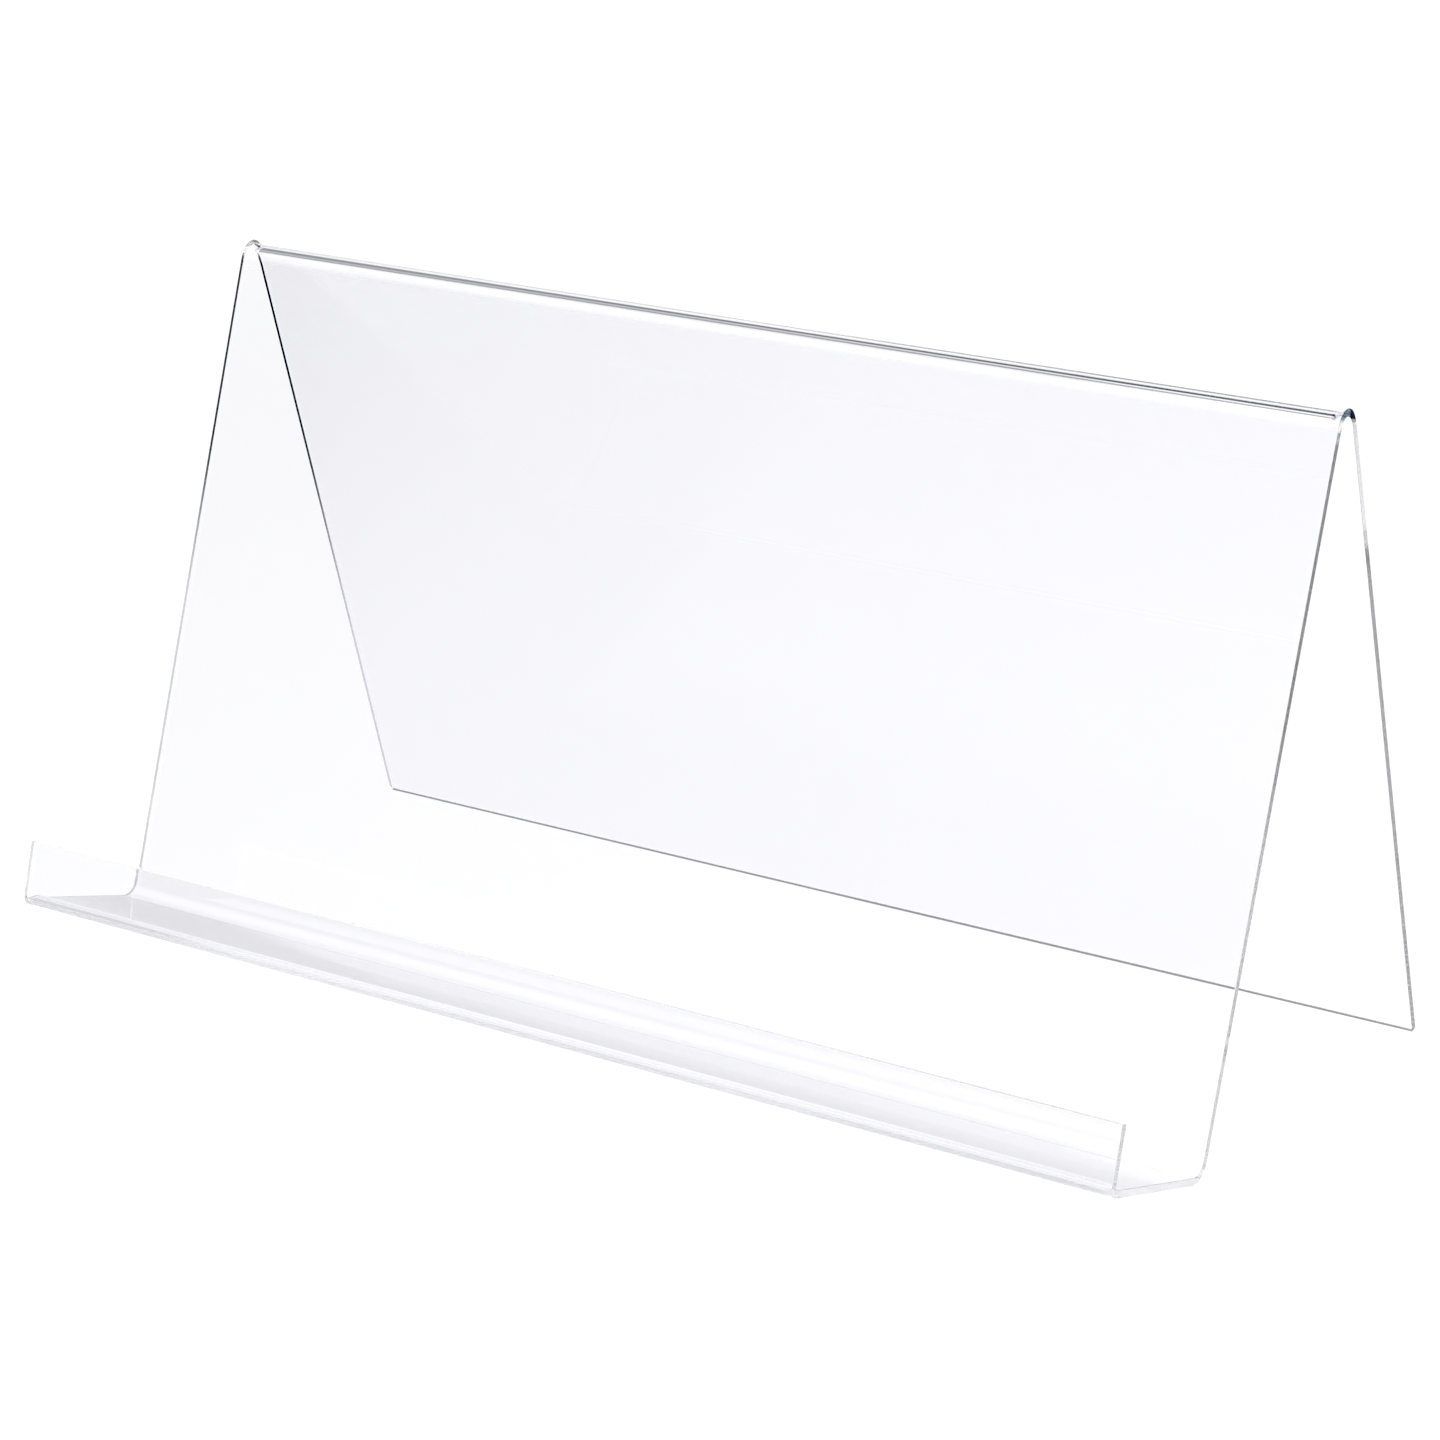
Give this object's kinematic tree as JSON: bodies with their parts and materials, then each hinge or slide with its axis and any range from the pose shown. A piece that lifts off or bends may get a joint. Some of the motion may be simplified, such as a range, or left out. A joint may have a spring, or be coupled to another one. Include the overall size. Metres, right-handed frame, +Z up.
{
  "type": "plate display stand",
  "caption": "Clear acrylic display stand bent from one sheet: a leaning front panel with a rear leg, and a ledge with an upturned lip.",
  "frame": {"origin": "on the table, below the middle of the stand's bounding box", "axes": "+X along the bends (the stand's width), -Y out of the front, towards the viewer, +Z up"},
  "size_m": [0.508, 0.2438, 0.2678],
  "materials": {
    "clear_acrylic": "polished"
  },
  "bodies": {
    "root": {"bent_acrylic_sheet": "clear_acrylic"}
  },
  "joints": []
}
